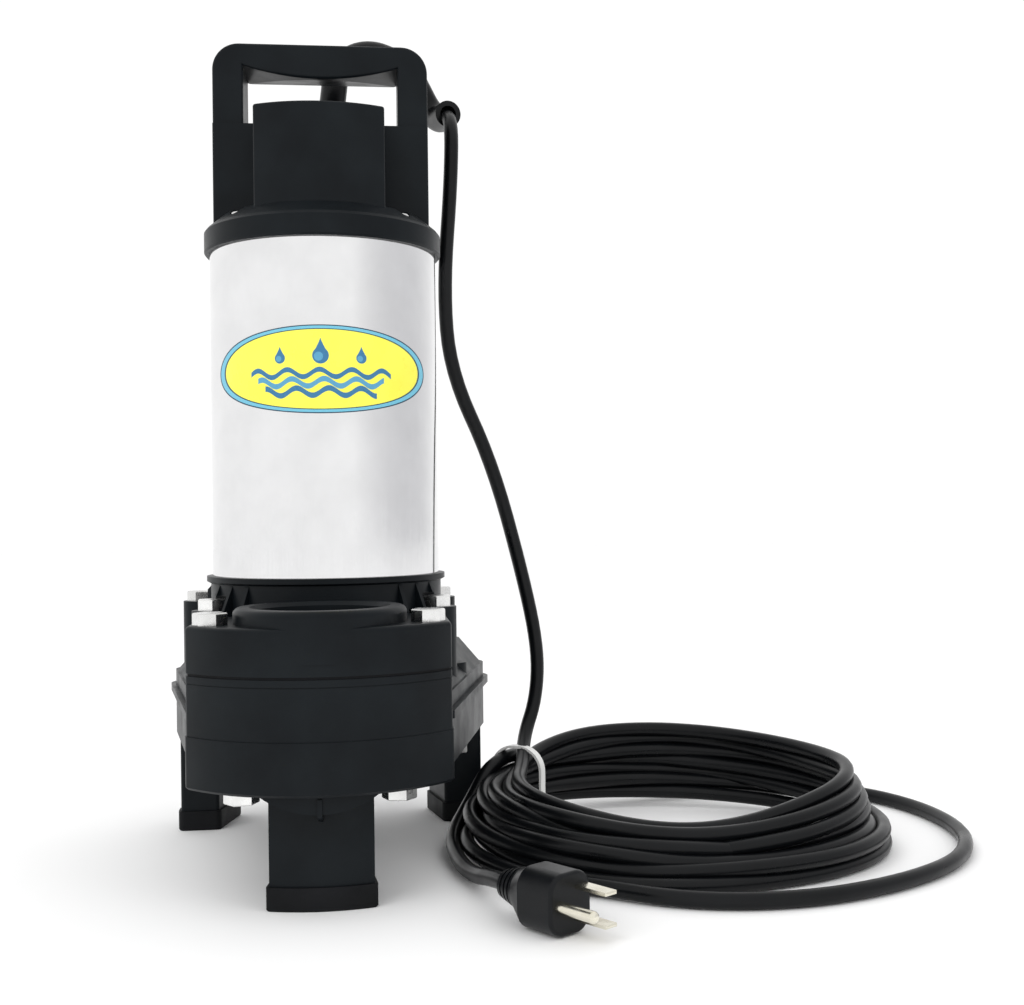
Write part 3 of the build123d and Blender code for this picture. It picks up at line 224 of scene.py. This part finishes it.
# ---------------------------------------------------------------- materials
class Surface:
    """Small helper for building one procedural material."""

    def __init__(self, name, colour, roughness, metallic=0.0):
        self.material = bpy.data.materials.new(name)
        self.material.use_nodes = True
        self.tree = self.material.node_tree
        self.shader = self.tree.nodes["Principled BSDF"]
        self.shader.inputs["Base Color"].default_value = (*colour, 1)
        self.shader.inputs["Roughness"].default_value = roughness
        self.shader.inputs["Metallic"].default_value = metallic
        self.place = self.node("ShaderNodeTexCoord").outputs["Object"]

    def node(self, kind, **settings):
        made = self.tree.nodes.new(kind)
        for key, value in settings.items():
            setattr(made, key, value)
        return made

    def link(self, source, target):
        self.tree.links.new(source, target)

    def noise(self, scale, detail=3.0, stretch=(1, 1, 1)):
        mapping = self.node("ShaderNodeMapping")
        mapping.inputs["Scale"].default_value = stretch
        self.link(self.place, mapping.inputs["Vector"])
        noise = self.node("ShaderNodeTexNoise")
        noise.inputs["Scale"].default_value = scale
        noise.inputs["Detail"].default_value = detail
        self.link(mapping.outputs["Vector"], noise.inputs["Vector"])
        return noise.outputs["Fac"]

    def ramp(self, factor, stops):
        ramp = self.node("ShaderNodeValToRGB")
        elements = ramp.color_ramp.elements
        while len(elements) < len(stops):
            elements.new(0.5)
        for element, (place, colour) in zip(elements, stops):
            element.position = place
            element.color = (*colour, 1)
        self.link(factor, ramp.inputs["Fac"])
        return ramp.outputs["Color"]

    def spread(self, factor, low, high):
        spread = self.node("ShaderNodeMapRange")
        spread.inputs["From Min"].default_value = 0.3
        spread.inputs["From Max"].default_value = 0.7
        spread.inputs["To Min"].default_value = low
        spread.inputs["To Max"].default_value = high
        self.link(factor, spread.inputs["Value"])
        return spread.outputs["Result"]

    def math(self, operation, first, second=0.0, third=0.0):
        made = self.node("ShaderNodeMath", operation=operation)
        for socket, value in zip(made.inputs, (first, second, third)):
            if isinstance(value, (int, float)):
                socket.default_value = value
            else:
                self.link(value, socket)
        return made.outputs["Value"]

    def layer(self, mask, below, above):
        mix = self.node("ShaderNodeMix", data_type="RGBA")
        self.link(mask, mix.inputs["Factor"])
        for socket, value in ((mix.inputs[6], below), (mix.inputs[7], above)):
            if isinstance(value, tuple):
                socket.default_value = (*value, 1)
            else:
                self.link(value, socket)
        return mix.outputs[2]

    def tint(self, factor, dark, light):
        self.link(self.ramp(factor, [(0.32, dark), (0.68, light)]), self.shader.inputs["Base Color"])

    def rough(self, factor, low, high):
        self.link(self.spread(factor, low, high), self.shader.inputs["Roughness"])

    def bump(self, factor, strength, distance):
        bump = self.node("ShaderNodeBump")
        bump.inputs["Strength"].default_value = strength
        bump.inputs["Distance"].default_value = distance
        self.link(factor, bump.inputs["Height"])
        self.link(bump.outputs["Normal"], self.shader.inputs["Normal"])


def moulded(name, dark, light, low, high, grain, strength, gloss=0.5):
    """Moulded plastic or rubber: fine grain, with slow changes of tone and gloss."""
    surface = Surface(name, light, (low + high) / 2)
    surface.shader.inputs["Specular IOR Level"].default_value = gloss
    surface.tint(surface.noise(35, 4), dark, light)
    surface.rough(surface.noise(60, 5), low, high)
    surface.bump(surface.noise(grain, 2), strength, 0.0002)
    return surface.material


def metal(name, dark, light, low, high, grain, stretch, strength):
    """Metal with a drawn or turned grain along one direction."""
    surface = Surface(name, light, (low + high) / 2, 1.0)
    surface.tint(surface.noise(50, 4), dark, light)
    streaks = surface.noise(grain, 3, stretch)
    surface.rough(streaks, low, high)
    surface.bump(streaks, strength, 0.0001)
    return surface.material


LABEL_SPAN = radians(60)        # from the middle of the label to its end
WAVE_RATE = 0.42                # radians for each millimetre along the label
WAVE_SWING = 1.7
WAVES_END, WAVES_TAPER = 36.0, 0.9
TIP_CURVE = 1.25


def printed_label():
    """Wrapped oval label: yellow field, blue border between dark lines, three drops over three waves."""
    surface = Surface("label", (0.95, 0.9, 0.08), 0.28)
    low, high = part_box("shell_label")
    split = surface.node("ShaderNodeSeparateXYZ")
    surface.link(surface.place, split.inputs["Vector"])
    across = surface.math("SUBTRACT", split.outputs["X"], SHAFT.x)
    ahead = surface.math("SUBTRACT", SHAFT.y, split.outputs["Y"])
    around = surface.math("MULTIPLY", surface.math("ARCTAN2", across, ahead), SHELL_R / MM)
    height = surface.math("DIVIDE", surface.math("SUBTRACT", split.outputs["Z"], (low.z + high.z) / 2), MM)
    half_width = LABEL_SPAN * SHELL_R / MM
    half_height = (high.z - low.z) / 2 / MM
    wide = surface.math("POWER", surface.math("DIVIDE", around, half_width), 2)
    tall = surface.math("POWER", surface.math("DIVIDE", height, half_height), 2)
    edge = surface.math("SQRT", surface.math("ADD", wide, tall))

    def nearer(value, limit):
        return surface.math("LESS_THAN", value, limit)

    def waved(low_line, thick, shift):
        swing = surface.math("SINE", surface.math("MULTIPLY_ADD", around, WAVE_RATE, shift))
        line = surface.math("MULTIPLY_ADD", swing, WAVE_SWING, low_line)
        off = surface.math("ABSOLUTE", surface.math("SUBTRACT", height, line))
        inside = nearer(surface.math("ABSOLUTE", around), WAVES_END + WAVES_TAPER * low_line)
        return surface.math("MULTIPLY", nearer(off, thick), inside)

    def round_spot(middle_x, middle_z, radius):
        dx = surface.math("POWER", surface.math("SUBTRACT", around, middle_x), 2)
        dz = surface.math("POWER", surface.math("SUBTRACT", height, middle_z), 2)
        return nearer(surface.math("SQRT", surface.math("ADD", dx, dz)), radius)

    def drop_tip(middle_x, base, top, half):
        rise = surface.math("DIVIDE", surface.math("SUBTRACT", top, height), top - base)
        reach = surface.math("MULTIPLY", surface.math("POWER", rise, TIP_CURVE), half)
        dx = surface.math("ABSOLUTE", surface.math("SUBTRACT", around, middle_x))
        above = surface.math("GREATER_THAN", height, base)
        return surface.math("MULTIPLY", surface.math("LESS_THAN", dx, reach), above)

    ink, blue, deep = (0.012, 0.05, 0.09), (0.09, 0.33, 0.52), (0.03, 0.17, 0.34)
    tone = surface.layer(surface.noise(40, 3), (0.9, 0.84, 0.06), (0.98, 0.93, 0.11))
    waves = ((waved(-10.5, 1.3, 0.0), deep), (waved(-6.2, 1.3, 0.9), blue), (waved(-1.9, 1.2, 1.8), deep))
    for mask, colour in waves:
        tone = surface.layer(mask, tone, colour)
    for offset, lift, size in ((-19, 5.2, 2.5), (0, 6.2, 3.8), (19, 5.2, 2.5)):
        tone = surface.layer(drop_tip(offset, lift + 0.7, lift + 2.2 * size, 0.98 * size), tone, deep)
        tone = surface.layer(round_spot(offset, lift, size), tone, deep)
        tone = surface.layer(round_spot(offset - 0.25 * size, lift - 0.1 * size, 0.55 * size), tone, blue)
    for limit, colour in ((0.895, ink), (0.915, (0.16, 0.5, 0.66)), (0.975, ink)):
        tone = surface.layer(surface.math("GREATER_THAN", edge, limit), tone, colour)
    surface.link(tone, surface.shader.inputs["Base Color"])
    surface.rough(surface.noise(80, 4), 0.22, 0.36)
    surface.bump(surface.noise(900, 2), 0.06, 0.0001)
    return surface.material


# moulded: dark, light, roughness low and high, grain, bump strength, gloss
# metal: dark, light, roughness low and high, grain, stretch of the grain, bump strength
MATERIALS = {
    "casing_plastic": moulded("casing_plastic", (0.0035, 0.005, 0.0065), (0.0065, 0.009, 0.011), 0.32,
                              0.44, 2600,
                              0.22, 0.13),
    "rubber": moulded("rubber", (0.004, 0.0045, 0.005), (0.007, 0.0075, 0.009), 0.5, 0.7, 1800, 0.3,
                      0.15),
    "zinc_steel": metal("zinc_steel", (0.66, 0.66, 0.65), (0.84, 0.84, 0.83), 0.2, 0.34, 260, (1, 1, 1),
                        0.06),
    "stainless_shell": metal("stainless_shell", (0.77, 0.77, 0.775), (0.83, 0.83, 0.835), 0.07, 0.13,
                             500,
                             (1, 1, 0.02), 0.03),
    "stainless_dark": metal("stainless_dark", (0.45, 0.45, 0.46), (0.6, 0.6, 0.6), 0.25, 0.4, 700,
                            (1, 1, 0.1), 0.1),
    "label": printed_label(),
    "impeller_plastic": moulded("impeller_plastic", (0.03, 0.03, 0.032), (0.05, 0.05, 0.053), 0.4, 0.55,
                                2200, 0.2),
    "seal_carbon": moulded("seal_carbon", (0.015, 0.015, 0.016), (0.03, 0.03, 0.031), 0.3, 0.45, 1500,
                           0.1),
    "ceramic": moulded("ceramic", (0.75, 0.72, 0.65), (0.84, 0.81, 0.75), 0.15, 0.25, 900, 0.05),
    "bearing_steel": metal("bearing_steel", (0.62, 0.62, 0.63), (0.75, 0.75, 0.76), 0.08, 0.16, 900,
                           (1, 1, 0.2), 0.03),
    "lamination": metal("lamination", (0.16, 0.16, 0.17), (0.3, 0.3, 0.31), 0.4, 0.6, 2000,
                        (0.02, 0.02, 1), 0.5),
    "rotor_aluminium": metal("rotor_aluminium", (0.6, 0.6, 0.61), (0.74, 0.74, 0.75), 0.35, 0.5, 600,
                             (1, 1, 1), 0.2),
    "copper": metal("copper", (0.45, 0.16, 0.06), (0.62, 0.26, 0.11), 0.25, 0.4, 1500, (1, 1, 0.2), 0.5),
    "cast_aluminium": metal("cast_aluminium", (0.48, 0.48, 0.49), (0.62, 0.62, 0.63), 0.4, 0.6, 900,
                            (1, 1, 1), 0.4),
    "capacitor_can": moulded("capacitor_can", (0.6, 0.61, 0.62), (0.72, 0.73, 0.74), 0.25, 0.4, 800,
                             0.1),
    "terminal_plastic": moulded("terminal_plastic", (0.6, 0.58, 0.5), (0.72, 0.7, 0.62), 0.4, 0.5, 1500,
                                0.15),
    "cord_rubber": moulded("cord_rubber", (0.002, 0.0024, 0.003), (0.004, 0.0046, 0.0055), 0.26, 0.38,
                           1500, 0.12, 0.2),
    "tie_nylon": moulded("tie_nylon", (0.78, 0.78, 0.76), (0.86, 0.86, 0.85), 0.35, 0.45, 1500, 0.1),
    "plug_vinyl": moulded("plug_vinyl", (0.003, 0.0036, 0.0045), (0.006, 0.007, 0.0085), 0.28, 0.4,
                          1500, 0.15, 0.2),
    "plug_brass": metal("plug_brass", (0.7, 0.66, 0.54), (0.84, 0.81, 0.7), 0.16, 0.28, 260, (1, 1, 1),
                        0.05),
    "clip_steel": metal("clip_steel", (0.4, 0.4, 0.41), (0.55, 0.55, 0.56), 0.3, 0.45, 700, (1, 1, 0.1),
                        0.1),
}

for entry in frame["record"]["subparts"]:
    data = nodes[entry["node"]].data
    data.materials.clear()
    data.materials.append(MATERIALS[entry["material_slot"]])
cord.data.materials.append(MATERIALS["cord_rubber"])


# ---------------------------------------------------------------- floor and light
def make_floor():
    """Large pale floor."""
    mesh = bpy.data.meshes.new("floor")
    reach = 6.0
    corners = [(-reach, -reach, 0), (reach, -reach, 0), (reach, reach, 0), (-reach, reach, 0)]
    mesh.from_pydata(corners, [], [(0, 1, 2, 3)])
    floor = bpy.data.objects.new("floor", mesh)
    scene.collection.objects.link(floor)
    surface = Surface("floor_paper", (0.99, 0.99, 0.99), 0.9)
    surface.shader.inputs["Specular IOR Level"].default_value = 0.1
    mesh.materials.append(surface.material)


def soft_light(name, place, size, power):
    """Square soft light aimed at the middle of the pump."""
    data = bpy.data.lights.new(name, "AREA")
    data.shape = "RECTANGLE"
    data.size, data.size_y = size
    data.energy = power
    light = bpy.data.objects.new(name, data)
    scene.collection.objects.link(light)
    place = Vector(place)
    light.location = place
    light.rotation_euler = (Vector((0.05, 0, 0.18)) - place).to_track_quat("-Z", "Y").to_euler()
    light.visible_glossy = False


def make_world():
    """White surroundings that turn a little greyer towards the right of the viewer."""
    world = bpy.data.worlds.new("world")
    world.use_nodes = True
    tree = world.node_tree
    place = tree.nodes.new("ShaderNodeTexCoord")
    turned = tree.nodes.new("ShaderNodeVectorMath")
    turned.operation = "DOT_PRODUCT"
    turned.inputs[1].default_value = (1.0, 0.0, 0.0)
    tree.links.new(place.outputs["Generated"], turned.inputs[0])
    ramp = tree.nodes.new("ShaderNodeValToRGB")
    ramp.color_ramp.elements[0].position = 0.5
    ramp.color_ramp.elements[0].color = (1, 1, 1, 1)
    ramp.color_ramp.elements[1].position = 1.0
    ramp.color_ramp.elements[1].color = (0.7, 0.7, 0.715, 1)
    tree.links.new(turned.outputs["Value"], ramp.inputs["Fac"])
    tree.links.new(ramp.outputs["Color"], tree.nodes["Background"].inputs["Color"])
    tree.nodes["Background"].inputs["Strength"].default_value = 1.04
    scene.world = world


make_floor()
make_world()
soft_light("key", (-1.2, -1.4, 1.7), (1.2, 1.2), 12)
soft_light("fill", (1.5, -1.2, 0.9), (1.0, 1.4), 5)
scene.view_settings.view_transform = "Standard"

bpy.context.view_layer.update()
